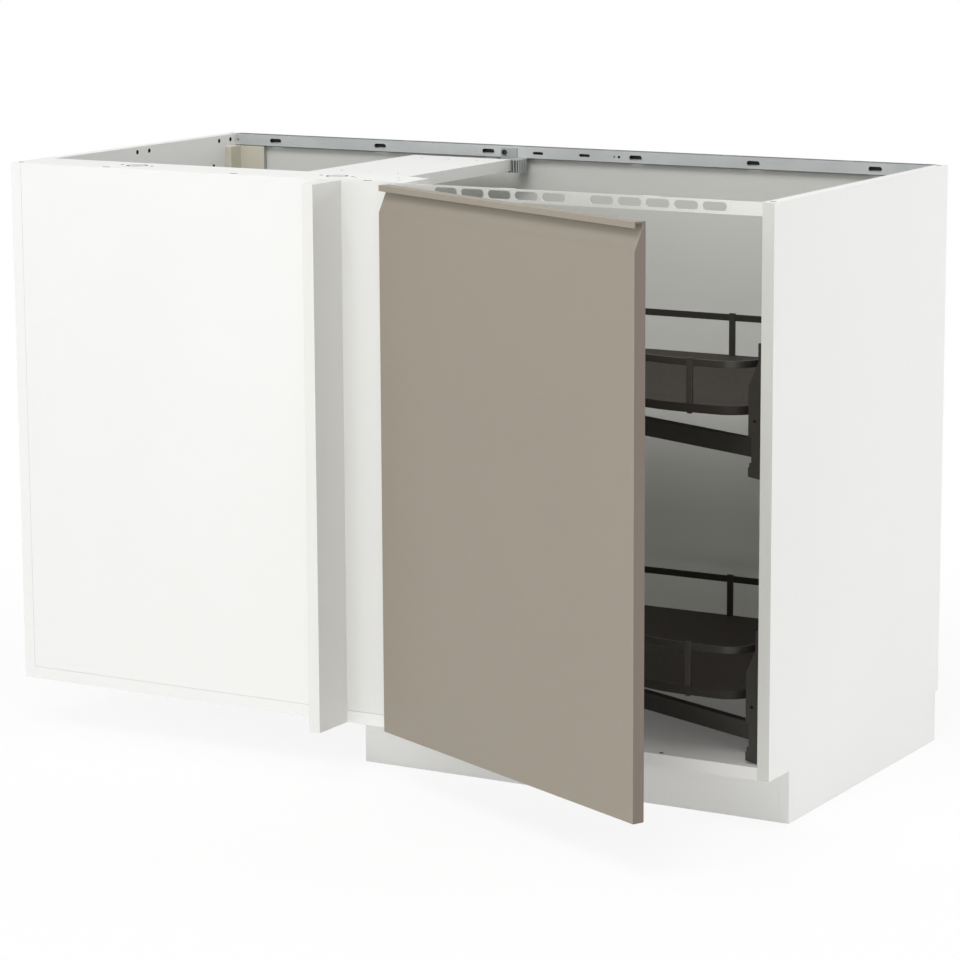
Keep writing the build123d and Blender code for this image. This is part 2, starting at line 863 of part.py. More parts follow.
def tray_pivot_bearing(tray_top):
    """Flange screwed under the tray, with the pin that turns in the arm's end."""
    bottom = tray_top - tray_thickness
    arm_top = tray_top - arm_top_drop
    flange = upright(*tray_pivot, bottom - tray_flange_thickness, bottom, tray_flange_radius)
    collar = upright(*tray_pivot, arm_top + arm_side_play, bottom - tray_flange_thickness, tray_collar_radius)
    pin = upright(*tray_pivot, arm_top - tray_pin_length, arm_top + arm_side_play, tray_pin_radius)
    return flange + collar + pin


def swing_arm(tray_top):
    high = tray_top - arm_top_drop
    low = tray_top - arm_bottom_drop
    middle = ((arm_pivot[0] + tray_pivot[0]) / 2, (arm_pivot[1] + tray_pivot[1]) / 2)
    beam = extrude(SlotCenterToCenter(arm_length, arm_width), arm_height)
    hollow = Pos(0, 0, -1) * Box(arm_length - 2 * arm_solid_end, arm_width - 2 * arm_wall,
                                 arm_height - arm_wall + 1,
                                 align=(Align.CENTER, Align.CENTER, Align.MIN))
    arm = Pos(*middle, low) * Rot(0, 0, arm_angle) * (beam - hollow)
    arm += upright(*arm_pivot, low, high, arm_end_radius)
    arm += upright(*tray_pivot, low, high, arm_hub_radius)
    arm -= upright(*tray_pivot, low, high, tray_pin_radius + arm_pin_fit)
    return arm - upright(*arm_pivot, low, high, arm_pin_radius + arm_pin_fit)


def arm_pin(tray_top):
    return upright(*arm_pivot, tray_top - recess_bottom_drop - bracket_tooth,
                   tray_top - recess_top_drop + bracket_ear_top, arm_pin_radius)


def arm_washers(tray_top):
    gaps = [
        (tray_top - recess_bottom_drop, tray_top - arm_bottom_drop - arm_side_play),
        (tray_top - arm_top_drop + arm_side_play, tray_top - recess_top_drop),
    ]
    outer = arm_end_radius - 1
    return grouped([upright(*arm_pivot, low, high, outer) - upright(*arm_pivot, low, high, arm_pin_radius)
                    for low, high in gaps])


def wall_bracket(tray_top):
    """Bracket on the right side: a shaped front flange, two ears and a wall plate."""
    wall = right_inner
    reach = wall - bracket_reach
    step = wall - bracket_recess_reach
    bottom = tray_top - bracket_below_tray
    tooth_low = tray_top - recess_bottom_drop - bracket_tooth
    tooth_high = tray_top - recess_bottom_drop
    recess_top = tray_top - recess_top_drop
    slope_low = recess_top + bracket_block_height
    slope_high = slope_low + bracket_slope_height
    tip = slope_high + bracket_tip_height
    inner = wall - bracket_plate
    rim = wall - bracket_rim_reach
    outline = [
        (wall, bottom), (wall, tip), (rim, tip), (rim, slope_high), (reach, slope_low),
        (reach, recess_top), (step, recess_top), (step, tooth_high),
        (reach, tooth_high - bracket_tooth_slope), (reach, tooth_low), (inner, bottom),
    ]
    flange = prism_along_y(outline, bracket_front, bracket_front + bracket_flange)
    hole_x = wall - bracket_reach / 2 - 3
    flange -= along_y(hole_x, recess_top + bracket_hole_height, bracket_front,
                      bracket_front + bracket_flange, bracket_hole_radius)
    plate = block(inner, wall, bracket_front, bracket_plate_back, bottom, tip)
    upper_ear = block(reach, inner, bracket_front + bracket_flange, bracket_back,
                      recess_top, recess_top + bracket_ear_top)
    lower_ear = block(reach, inner, bracket_front + bracket_flange, bracket_back, tooth_low, tooth_high)
    body = flange + plate + upper_ear + lower_ear
    return body - arm_pin(tray_top) - bracket_screws(tray_top)


def bracket_screws(tray_top):
    inner = right_inner - bracket_plate
    screws = []
    for y, z in bracket_screw_points(tray_top):
        head = along_x(y, z, inner - bracket_head_height, inner, bracket_head_radius)
        shank = along_x(y, z, inner, right_inner + bracket_screw_length, bracket_screw_radius)
        screws.append(head + shank)
    return grouped(screws)


save("left_side_panel", left_side_panel())
save("right_side_panel", right_side_panel())
save("bottom_panel", bottom_panel())
save("back_panel", back_panel())
save("blind_panel", blind_panel())
save("filler_panel", filler_panel())
save("fixed_front_strip", fixed_front_strip())
save("hinge_post", hinge_post())
save("top_front_board", top_front_board())
save("top_cross_board", top_cross_board())
save("round_fittings", round_fittings())
save("fitting_screws", fitting_screws())
save("edge_fasteners", edge_fasteners())
save("corner_fasteners", corner_fasteners())
save("assembly_dowels", dowels())
save("suspension_rail", suspension_rail())
save("rail_bracket", rail_bracket())
save("rail_bracket_screw", rail_bracket_screw())
save("corner_profile_left", corner_profile(board, 1))
save("corner_profile_right", corner_profile(right_inner, -1))
save("ventilated_rail", ventilated_rail())
save("vent_rail_screws", vent_screws())
save("leg_sockets", leg_sockets())
save("leg_feet", leg_feet())
save("plinth_front", plinth_front())
save("plinth_side", plinth_side())
save("plinth_clips", plinth_clips())
save("door_panel", swung(door_panel()))
save("door_bumpers", swung(door_bumpers()))
save("hinge_cups", swung(hinge_cups()))
save("cup_screws", swung(cup_screws()))
save("cup_pins", swung(cup_pins()))
save("hinge_links", swung(hinge_links()))
save("link_pins", swung(link_pins()))
save("hinge_arms", hinge_arms())
save("hinge_mounting_plates", hinge_mounting_plates())
save("hinge_plate_screws", hinge_plate_screws())

for level, tray_top in tray_levels.items():
    save(f"{level}_wall_bracket", wall_bracket(tray_top))
    save(f"{level}_bracket_screws", bracket_screws(tray_top))
    save(f"{level}_arm_pin", arm_pin(tray_top))
    save(f"{level}_arm_washers", arm_washers(tray_top))
    save(f"{level}_swing_arm", swing_arm(tray_top))
    save(f"{level}_tray_board", tray_board(tray_top))
    save(f"{level}_tray_edge", tray_edge(tray_top))
    save(f"{level}_tray_pivot", tray_pivot_bearing(tray_top))
    save(f"{level}_gallery_rail", gallery_rail(tray_top))
    save(f"{level}_gallery_posts", gallery_posts(tray_top))
    save(f"{level}_post_feet", post_feet(tray_top))
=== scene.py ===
import json
import math

import bmesh
import bpy
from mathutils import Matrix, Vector


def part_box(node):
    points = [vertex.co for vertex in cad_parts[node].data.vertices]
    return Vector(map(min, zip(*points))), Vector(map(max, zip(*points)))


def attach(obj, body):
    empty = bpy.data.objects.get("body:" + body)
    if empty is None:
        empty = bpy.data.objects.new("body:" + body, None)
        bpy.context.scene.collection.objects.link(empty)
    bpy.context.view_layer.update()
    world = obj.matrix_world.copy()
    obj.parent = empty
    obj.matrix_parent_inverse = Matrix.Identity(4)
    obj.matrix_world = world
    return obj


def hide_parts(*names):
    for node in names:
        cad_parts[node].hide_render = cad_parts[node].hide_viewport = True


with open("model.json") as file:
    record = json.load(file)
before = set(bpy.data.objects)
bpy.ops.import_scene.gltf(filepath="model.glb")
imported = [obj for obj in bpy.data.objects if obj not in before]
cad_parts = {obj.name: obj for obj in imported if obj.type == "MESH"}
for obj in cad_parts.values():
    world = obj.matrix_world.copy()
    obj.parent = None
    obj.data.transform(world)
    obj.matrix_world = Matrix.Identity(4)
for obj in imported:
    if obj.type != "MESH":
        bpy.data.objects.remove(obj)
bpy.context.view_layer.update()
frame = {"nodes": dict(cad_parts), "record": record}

# Kitchen corner base cabinet, dressed for looks. Lengths are in metres, in the
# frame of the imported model: X to the right, Y to the back, Z up from the floor.

MM = 0.001
LEFT, RIGHT = Vector((-1, 0, 0)), Vector((1, 0, 0))
DOWN, UP = Vector((0, 0, -1)), Vector((0, 0, 1))
FRONT = Vector((0, -1, 0))
DOOR_OPEN = math.radians(25.2)
DOOR_BACK = Vector((math.sin(DOOR_OPEN), math.cos(DOOR_OPEN), 0))


# Colours and finishes. Pattern scales are repeats per metre, relief depths are metres.


NOISE_ROUGHNESS = 0.55
PATTERN_LOW, PATTERN_HIGH = 0.3, 0.7


def linear(red, green, blue):
    """A colour given as it looks on a screen, 0 to 255, as the shader takes it."""
    def one(value):
        value /= 255
        return value / 12.92 if value <= 0.04045 else ((value + 0.055) / 1.055) ** 2.4
    return (one(red), one(green), one(blue), 1.0)


def scaled(colour, factor):
    return (colour[0] * factor, colour[1] * factor, colour[2] * factor, 1.0)


def new_finish(name, colour, roughness, metallic=0.0, specular=0.5, coat=0.0):
    finish = bpy.data.materials.new(name)
    finish.use_nodes = True
    shader = finish.node_tree.nodes["Principled BSDF"]
    shader.inputs["Base Color"].default_value = colour
    shader.inputs["Roughness"].default_value = roughness
    shader.inputs["Metallic"].default_value = metallic
    shader.inputs["Specular IOR Level"].default_value = specular
    shader.inputs["Coat Weight"].default_value = coat
    return finish


def object_places(finish, stretch=(1, 1, 1)):
    """Object coordinates, squeezed along each axis by stretch."""
    nodes, links = finish.node_tree.nodes, finish.node_tree.links
    place = nodes.new("ShaderNodeTexCoord")
    mapping = nodes.new("ShaderNodeMapping")
    mapping.inputs["Scale"].default_value = stretch
    links.new(place.outputs["Object"], mapping.inputs["Vector"])
    return mapping.outputs["Vector"]


def noise(finish, scale, detail=3.0, stretch=(1, 1, 1)):
    node = finish.node_tree.nodes.new("ShaderNodeTexNoise")
    node.inputs["Scale"].default_value = scale
    node.inputs["Detail"].default_value = detail
    node.inputs["Roughness"].default_value = NOISE_ROUGHNESS
    finish.node_tree.links.new(object_places(finish, stretch), node.inputs["Vector"])
    return node.outputs["Fac"]


def grains(finish, scale, output="Distance"):
    node = finish.node_tree.nodes.new("ShaderNodeTexVoronoi")
    node.inputs["Scale"].default_value = scale
    finish.node_tree.links.new(object_places(finish), node.inputs["Vector"])
    return node.outputs[output]


def spread(finish, pattern, low, high):
    """Map the middle of a pattern's range to low..high."""
    node = finish.node_tree.nodes.new("ShaderNodeMapRange")
    node.inputs["From Min"].default_value = PATTERN_LOW
    node.inputs["From Max"].default_value = PATTERN_HIGH
    node.inputs["To Min"].default_value = low
    node.inputs["To Max"].default_value = high
    finish.node_tree.links.new(pattern, node.inputs["Value"])
    return node.outputs["Result"]


def tint(finish, pattern, colour, dark, light):
    """Let a pattern shift the colour between a darker and a lighter tone of itself."""
    nodes, links = finish.node_tree.nodes, finish.node_tree.links
    mix = nodes.new("ShaderNodeMix")
    mix.data_type = "RGBA"
    mix.inputs["A"].default_value = scaled(colour, dark)
    mix.inputs["B"].default_value = scaled(colour, light)
    links.new(spread(finish, pattern, 0, 1), mix.inputs["Factor"])
    links.new(mix.outputs["Result"], nodes["Principled BSDF"].inputs["Base Color"])


def vary_roughness(finish, pattern, low, high):
    shader = finish.node_tree.nodes["Principled BSDF"]
    finish.node_tree.links.new(spread(finish, pattern, low, high), shader.inputs["Roughness"])


def relief(finish, pattern, depth, strength):
    """Add a bump of the given depth, on top of any bump before it."""
    shader = finish.node_tree.nodes["Principled BSDF"]
    links = finish.node_tree.links
    node = finish.node_tree.nodes.new("ShaderNodeBump")
    node.inputs["Distance"].default_value = depth
    node.inputs["Strength"].default_value = strength
    links.new(pattern, node.inputs["Height"])
    normal = shader.inputs["Normal"]
    if normal.is_linked:
        links.new(normal.links[0].from_socket, node.inputs["Normal"])
    links.new(node.outputs["Normal"], normal)


def foil_finish(name, colour, roughness=0.42, grain_depth=0.00005):
    """Melamine foil on chipboard: a fine pebble, a faint unevenness of tone."""
    finish = new_finish(name, colour, roughness, specular=0.3)
    tint(finish, noise(finish, 3.0, 2.0), colour, 0.985, 1)
    vary_roughness(finish, noise(finish, 40.0), roughness - 0.05, roughness + 0.06)
    relief(finish, grains(finish, 1400.0), grain_depth, 0.3)
    return finish


def raw_core_finish(name, colour):
    """Bare chipboard inside drilled holes and grooves: coarse flakes, quite matt."""
    finish = new_finish(name, colour, 0.85, specular=0.2)
    tint(finish, grains(finish, 900.0, "Color"), colour, 0.55, 1.3)
    relief(finish, grains(finish, 900.0), 0.0003, 0.6)
    return finish


def lacquer_finish(name, colour):
    """Matt lacquered door front with a very fine orange peel."""
    finish = new_finish(name, colour, 0.5, specular=0.32, coat=0.04)
    finish.node_tree.nodes["Principled BSDF"].inputs["Coat Roughness"].default_value = 0.35
    tint(finish, noise(finish, 2.5, 2.0), colour, 0.985, 1.01)
    vary_roughness(finish, noise(finish, 60.0), 0.47, 0.55)
    relief(finish, noise(finish, 700.0, 2.0), 0.00006, 0.25)
    return finish


def zinc_finish(name, colour):
    """Galvanised sheet: soft rolled streaks along X, hardly any spangle."""
    finish = new_finish(name, colour, 0.55, metallic=0.3)
    tint(finish, noise(finish, 14.0, 2.0, stretch=(0.6, 1, 1)), colour, 0.9, 1.06)
    vary_roughness(finish, noise(finish, 240.0, 3.0, stretch=(0.05, 1, 1)), 0.48, 0.6)
    relief(finish, noise(finish, 500.0, 2.0, stretch=(0.06, 1, 1)), 0.00003, 0.3)
    relief(finish, grains(finish, 260.0), 0.00002, 0.2)
    return finish


def powder_finish(name, colour, roughness=0.5, metallic=0.0):
    """Powder coat: a pebbled skin with a few lighter specks."""
    finish = new_finish(name, colour, roughness, metallic, specular=0.3)
    tint(finish, noise(finish, 900.0, 2.0), colour, 0.9, 1.12)
    vary_roughness(finish, noise(finish, 70.0), roughness - 0.05, roughness + 0.06)
    relief(finish, noise(finish, 1600.0, 2.0), 0.00008, 0.4)
    return finish


def moulded_finish(name, colour, roughness=0.5):
    """Moulded plastic with a fine spark-eroded texture."""
    finish = new_finish(name, colour, roughness, specular=0.25)
    tint(finish, noise(finish, 12.0), colour, 0.95, 1.04)
    vary_roughness(finish, noise(finish, 120.0), roughness - 0.06, roughness + 0.08)
    relief(finish, grains(finish, 2200.0), 0.00005, 0.4)
    return finish


def plated_finish(name, colour, roughness=0.26, metallic=1.0):
    """Plated steel, lightly brushed by handling."""
    finish = new_finish(name, colour, roughness, metallic)
    tint(finish, noise(finish, 90.0), colour, 0.9, 1.04)
    vary_roughness(finish, noise(finish, 400.0, 2.0), roughness - 0.06, roughness + 0.12)
    relief(finish, noise(finish, 800.0), 0.00002, 0.3)
    return finish


def tray_laminate_finish(name, colour):
    """Dark laminate of the tray boards: tiny pits under a dull sheen."""
    finish = new_finish(name, colour, 0.64, specular=0.12)
    tint(finish, noise(finish, 260.0, 2.0), colour, 0.95, 1.05)
    vary_roughness(finish, noise(finish, 180.0, 2.0), 0.6, 0.68)
    relief(finish, grains(finish, 1500.0), 0.00004, 0.3)
    return finish


def wood_finish(name, colour):
    """Beech dowel rod with its grain along X."""
    finish = new_finish(name, colour, 0.65)
    tint(finish, noise(finish, 350.0, 4.0, stretch=(0.08, 1, 1)), colour, 0.7, 1.1)
    relief(finish, noise(finish, 500.0, 3.0, stretch=(0.08, 1, 1)), 0.0001, 0.5)
    return finish


white_foil = foil_finish("white_foil", linear(238, 238, 236))
# A darker copy of the white foil: painted shade on the filler panel and the fixed front strip
shaded_white_foil = foil_finish("shaded_white_foil", linear(230, 230, 227))
# Edge band: a slightly different tone of its own, darkened further as painted shade from the
# open door
shaded_edge_band = foil_finish("shaded_edge_band", linear(218, 219, 214), 0.4, 0.00002)
white_fibreboard = foil_finish("white_fibreboard", linear(221, 222, 217), 0.55, 0.0001)
# Dark colour that stands for the shade behind the suspension rail: painted shade
painted_shade_behind_rail = foil_finish("painted_shade_behind_rail", linear(66, 65, 62), 0.8, 0.0002)
# Bare chipboard, its colour darkened as painted shade inside the holes
raw_chipboard_in_shade = raw_core_finish("raw_chipboard_in_shade", linear(70, 62, 52))
door_lacquer = lacquer_finish("door_lacquer", linear(151, 143, 130))
# A darker copy of the door lacquer: painted shade on the door's upright edges
shaded_door_edge_lacquer = lacquer_finish("shaded_door_edge_lacquer", linear(126, 114, 105))
galvanised_sheet = zinc_finish("galvanised_sheet", linear(203, 207, 207))
# A darker copy of the zinc: painted shade for the rail's top lip and a painted shadow line
# along its lower edge
rail_painted_shade = zinc_finish("rail_painted_shade", linear(96, 100, 101))
white_powder_coat = powder_finish("white_powder_coat", linear(232, 233, 229), 0.42)
beige_plastic = moulded_finish("beige_plastic", linear(214, 210, 194))
grey_plastic = moulded_finish("grey_plastic", linear(172, 176, 175))
fitting_plastic = moulded_finish("fitting_plastic", linear(212, 213, 210), 0.4)
# Dark colour standing for the shade in the ring grooves of the round caps: painted shade
groove_painted_shade = raw_core_finish("groove_painted_shade", linear(30, 29, 28))
black_plastic = moulded_finish("black_plastic", linear(38, 38, 38), 0.55)
clear_plastic = moulded_finish("clear_plastic", linear(206, 206, 202), 0.3)
post_plastic = moulded_finish("post_plastic", linear(62, 60, 56), 0.45)
dark_powder_coat = powder_finish("dark_powder_coat", linear(60, 58, 54), 0.42, 0.2)
dark_screw_steel = plated_finish("dark_screw_steel", linear(50, 48, 46), 0.6, 0.3)
blackened_steel = raw_core_finish("blackened_steel", linear(34, 33, 31))
nickel_plate = plated_finish("nickel_plate", linear(202, 199, 193))
tray_laminate = tray_laminate_finish("tray_laminate", linear(52, 47, 42))
tray_band = moulded_finish("tray_band", linear(44, 40, 36), 0.6)
dowel_beech = wood_finish("dowel_beech", linear(214, 182, 140))

FINISH_OF_SLOT = {
    "white_board": white_foil,
    "back_board": white_fibreboard,
    "fitting_cap": fitting_plastic,
    "dark_steel": dark_screw_steel,
    "dowel_wood": dowel_beech,
    "galvanised_steel": galvanised_sheet,
    "grey_plastic": grey_plastic,
    "beige_profile": beige_plastic,
    "white_steel": white_powder_coat,
    "black_plastic": black_plastic,
    "nickel_steel": nickel_plate,
    "door_lacquer": door_lacquer,
    "clear_bumper": clear_plastic,
    "dark_painted_steel": dark_powder_coat,
    "tray_laminate": tray_laminate,
    "tray_edging": tray_band,
    "dark_plastic": post_plastic,
}
FINISH_OF_NODE = {
    "edge_fasteners": blackened_steel,
    "corner_fasteners": blackened_steel,
    "fitting_screws": blackened_steel,
    # Painted shade: the filler panel and the fixed front strip take the darker white foil
    "filler_panel": shaded_white_foil,
    "fixed_front_strip": shaded_white_foil,
}
SLOT_OF_NODE = {part["node"]: part["material_slot"] for part in frame["record"]["subparts"]}


def finish_of_node(node):
    return FINISH_OF_NODE.get(node, FINISH_OF_SLOT[SLOT_OF_NODE[node]])


# Working on pieces


SHARP_ANGLE = 30
SAME_PLACE = 0.01 * MM
SAME_LEVEL = 0.02 * MM


def body_of_node(node):
    for body, members in frame["record"]["behaviour"]["bodies"].items():
        if node in members:
            return body
    return "root"


def deselect_all():
    if bpy.context.object and bpy.context.object.mode != "OBJECT":
        bpy.ops.object.mode_set(mode="OBJECT")
    bpy.ops.object.select_all(action="DESELECT")


def make_active(piece):
    deselect_all()
    piece.select_set(True)
    bpy.context.view_layer.objects.active = piece


def edit_with(piece, kind, chosen):
    """Open a piece in edit mode with only its chosen corners or edges selected."""
    make_active(piece)
    bpy.ops.object.mode_set(mode="EDIT")
    bpy.ops.mesh.select_mode(type=kind)
    bpy.ops.mesh.select_all(action="DESELECT")
    mesh = bmesh.from_edit_mesh(piece.data)
    for item in mesh.verts if kind == "VERT" else mesh.edges:
        item.select = chosen(item)
    bmesh.update_edit_mesh(piece.data)


def edit_all_of(piece):
    make_active(piece)
    bpy.ops.object.mode_set(mode="EDIT")
    bpy.ops.mesh.select_all(action="SELECT")


def end_editing():
    bpy.ops.object.mode_set(mode="OBJECT")


def apply_modifier(piece, kind, **settings):
    make_active(piece)
    modifier = piece.modifiers.new(kind.lower(), kind)
    for key, value in settings.items():
        setattr(modifier, key, value)
    bpy.ops.object.modifier_apply(modifier=modifier.name)


def ease_edges(piece, width, angle=35):
    """Round every sharp edge of a piece by the given width."""
    apply_modifier(piece, "BEVEL", width=width, segments=2, limit_method="ANGLE",
                   angle_limit=math.radians(angle), use_clamp_overlap=True)


def cut_out(piece, cutter):
    """Cut the shape of one piece out of another, then drop the cutter."""
    apply_modifier(piece, "BOOLEAN", operation="DIFFERENCE", object=cutter, solver="EXACT")
    bpy.data.objects.remove(cutter)


def score_level_line(piece, height):
    """Split the faces at a height, so that a strip can have a finish of its own."""
    edit_all_of(piece)
    bpy.ops.mesh.bisect(plane_co=(0, 0, height), plane_no=(0, 0, 1))
    end_editing()


def join_up(pieces, name):
    """Join several pieces into one."""
    make_active(pieces[0])
    for piece in pieces[1:]:
        piece.select_set(True)
    bpy.ops.object.join()
    joined = bpy.context.object
    joined.name = name
    return joined


def fix_size_and_turn(piece):
    make_active(piece)
    bpy.ops.object.transform_apply(location=True, rotation=True, scale=True)


def twin_of(piece):
    """A copy of a piece with its own mesh."""
    twin = piece.copy()
    twin.data = piece.data.copy()
    bpy.context.scene.collection.objects.link(twin)
    return twin


def copy_of_node(node, name):
    """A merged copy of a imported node's mesh, ready to be worked on."""
    piece = bpy.data.objects.new(name, frame["nodes"][node].data.copy())
    bpy.context.scene.collection.objects.link(piece)
    edit_all_of(piece)
    bpy.ops.mesh.remove_doubles(threshold=SAME_PLACE)
    bpy.ops.mesh.dissolve_limited(angle_limit=math.radians(1))
    end_editing()
    return piece


def finish_piece(piece, node, extra_finishes=()):
    """Give a finished piece the finish and body of the node it stands for, and hide the node.
    """
    fix_size_and_turn(piece)
    make_active(piece)
    bpy.ops.object.shade_smooth_by_angle(angle=math.radians(SHARP_ANGLE))
    apply_modifier(piece, "WEIGHTED_NORMAL", weight=100, keep_sharp=True)
    piece.data.materials.clear()
    for finish in (finish_of_node(node), *extra_finishes):
        piece.data.materials.append(finish)
    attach(piece, body_of_node(node))
    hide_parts(node)
    return piece


def colour_faces(piece, finish_number):
    """Give each face the finish of that number: 0 is the node's own, then the extra ones."""
    for face in piece.data.polygons:
        face.material_index = int(finish_number(face))


def block_tool(centre, size):
    """A plain block of the given size, used for cutting or as the start of a piece."""
    deselect_all()
    bpy.ops.mesh.primitive_cube_add(size=1, location=centre)
    tool = bpy.context.object
    tool.scale = size
    fix_size_and_turn(tool)
    return tool


def round_tool(centre, radius, height, turn=(0, 0, 0), sides=32):
    deselect_all()
    bpy.ops.mesh.primitive_cylinder_add(vertices=sides, radius=radius, depth=height,
                                        location=centre, rotation=turn)
    tool = bpy.context.object
    fix_size_and_turn(tool)
    return tool


# Boards: eased edges, an edge band in front partly darkened as painted shade, bare chipboard
# darkened as painted shade in the holes, open joints


BOARD_EASE = 0.4 * MM
JOINT_GAP = 0.4 * MM
HOLE_MARGIN = 1.2 * MM

BOARDS = ("left_side_panel", "right_side_panel", "bottom_panel", "blind_panel", "filler_panel",
          "fixed_front_strip", "hinge_post", "top_front_board", "top_cross_board",
          "plinth_front", "plinth_side")
# Boards whose front edge band carries painted shade
BANDED_IN_SHADE = ("right_side_panel",)
OPEN_JOINTS = {"blind_panel": (LEFT, DOWN), "fixed_front_strip": (DOWN,)}


def draw_back(piece, side):
    """Draw one end of a board back from its neighbour, so that the joint shows."""
    farthest = max(corner.co.dot(side) for corner in piece.data.vertices)
    edit_with(piece, "VERT", lambda corner: corner.co.dot(side) > farthest - SAME_PLACE)
    bpy.ops.transform.translate(value=-side * JOINT_GAP)
    end_editing()


def mark_board_faces(piece, node):
    """Edge band on the front edge, its own tone darkened as painted shade; bare chipboard,
    darkened as painted shade, on faces inside the board.
    """
    low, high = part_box(node)

    def finish_number(face):
        centre = face.center
        if all(low[i] + HOLE_MARGIN < centre[i] < high[i] - HOLE_MARGIN for i in range(3)):
            return 2
        on_front = face.normal.dot(FRONT) > 0.95 and centre.y < low[1] + HOLE_MARGIN
        return on_front and node in BANDED_IN_SHADE

    colour_faces(piece, finish_number)


def dress_board(node):
    piece = copy_of_node(node, node + "_foiled")
    for side in OPEN_JOINTS.get(node, ()):
        draw_back(piece, side)
    ease_edges(piece, BOARD_EASE)
    finish_piece(piece, node, (shaded_edge_band, raw_chipboard_in_shade))
    mark_board_faces(piece, node)


for board in BOARDS:
    dress_board(board)


# Back panel: painted shade on the strip behind the suspension rail, where the rail's lip keeps
# the light off


BACK_EASE = 0.2 * MM
SHADED_STRIP_BELOW_MIDDLE = 2.7 * MM


def dress_back_panel():
    piece = copy_of_node("back_panel", "white_back")
    rail_low, rail_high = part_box("suspension_rail")
    strip_low = (rail_low[2] + rail_high[2]) / 2 - SHADED_STRIP_BELOW_MIDDLE
    score_level_line(piece, strip_low)
    ease_edges(piece, BACK_EASE)
    finish_piece(piece, "back_panel", (painted_shade_behind_rail,))
    # Painted shade: the front of the strip behind the rail, seen through its slots, is
    # coloured dark
    colour_faces(piece, lambda face: face.center.z > strip_low and face.normal.y < 0.5)


dress_back_panel()


# Door: the lip and its finger recess keep fine edges, the upright edges get a darker copy of
# the lacquer as painted shade


DOOR_EASE = 0.5 * MM


def dress_door():
    piece = copy_of_node("door_panel", "lacquered_door")
    ease_edges(piece, DOOR_EASE)
    finish_piece(piece, "door_panel", (shaded_door_edge_lacquer,))
    sideways = DOOR_BACK.cross(UP)
    # Painted shade: the faces across the door's width, its upright edges, take the darker
    # lacquer
    colour_faces(piece, lambda face: abs(face.normal.dot(sideways)) > 0.8)


dress_door()


# Small steel and plastic pieces, each with its edges eased by so many millimetres


EASED = {
    "ventilated_rail": 0.3, "corner_profile_left": 0.8, "corner_profile_right": 0.8,
    "rail_bracket": 0.3, "hinge_arms": 0.4, "hinge_links": 0.2, "hinge_mounting_plates": 0.5,
    "hinge_cups": 0.3, "plinth_clips": 0.4, "door_bumpers": 0.5,
    "lower_tray_board": 0.4, "upper_tray_board": 0.4,
    "lower_tray_edge": 0.3, "upper_tray_edge": 0.3,
    "lower_gallery_rail": 0.6, "upper_gallery_rail": 0.6,
    "lower_gallery_posts": 1.0, "upper_gallery_posts": 1.0,
    "lower_post_feet": 0.5, "upper_post_feet": 0.5,
    "lower_swing_arm": 0.8, "upper_swing_arm": 0.8,
    "lower_wall_bracket": 0.6, "upper_wall_bracket": 0.6,
    "lower_tray_pivot": 0.6, "upper_tray_pivot": 0.6,
    "lower_arm_washers": 0.4, "upper_arm_washers": 0.4,
}

for node_name, ease in EASED.items():
    softened = copy_of_node(node_name, node_name + "_eased")
    ease_edges(softened, ease * MM)
    finish_piece(softened, node_name)


# Left corner profile: its outer end face is grey, painted shade


def paint_shade_on_profile_end():
    piece = bpy.data.objects["corner_profile_left_eased"]
    # Painted shade: the outer end face takes the grey plastic
    piece.data.materials.append(grey_plastic)
    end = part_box("corner_profile_left")[1][0] - 1 * MM
    colour_faces(piece, lambda face: face.normal.x > 0.9 and face.center.x > end)


paint_shade_on_profile_end()


# Suspension rail: slots in its top lip, two small holes, painted shade on the top lip and a
# painted shadow line along its lower edge


RAIL_EASE = 0.25 * MM
RAIL_MIDDLE = -6 * MM
FIRST_WALL_SLOT, WALL_SLOT_STEP = 131.5, 201.5
WALL_SLOTS = [side * (FIRST_WALL_SLOT + step * WALL_SLOT_STEP) * MM
              for side in (-1, 1) for step in range(3)]
LIP_SLOT_OFFSET = 48 * MM
LIP_SLOT_LENGTH = 18 * MM
LIP_SLOT_WIDTH = 6 * MM
LIP_SLOT_CUT = 8 * MM
NAIL_HOLE_RADIUS = 1.6 * MM
NAIL_HOLE_CUT = 6 * MM
NAIL_HOLE_X = 94 * MM
END_HOLE_INSET = 5 * MM
SHADOW_LINE_HEIGHT = 1.3 * MM


def is_upright(edge):
    along = (edge.verts[0].co - edge.verts[1].co).normalized()
    return abs(along.z) > 0.9


def stadium_tool(centre, length, width, height):
    """A block with its upright edges rounded to half its width."""
    tool = block_tool(centre, (length, width, height))
    edit_with(tool, "EDGE", is_upright)
    bpy.ops.mesh.bevel(offset=width * 0.49, segments=5)
    end_editing()
    return tool


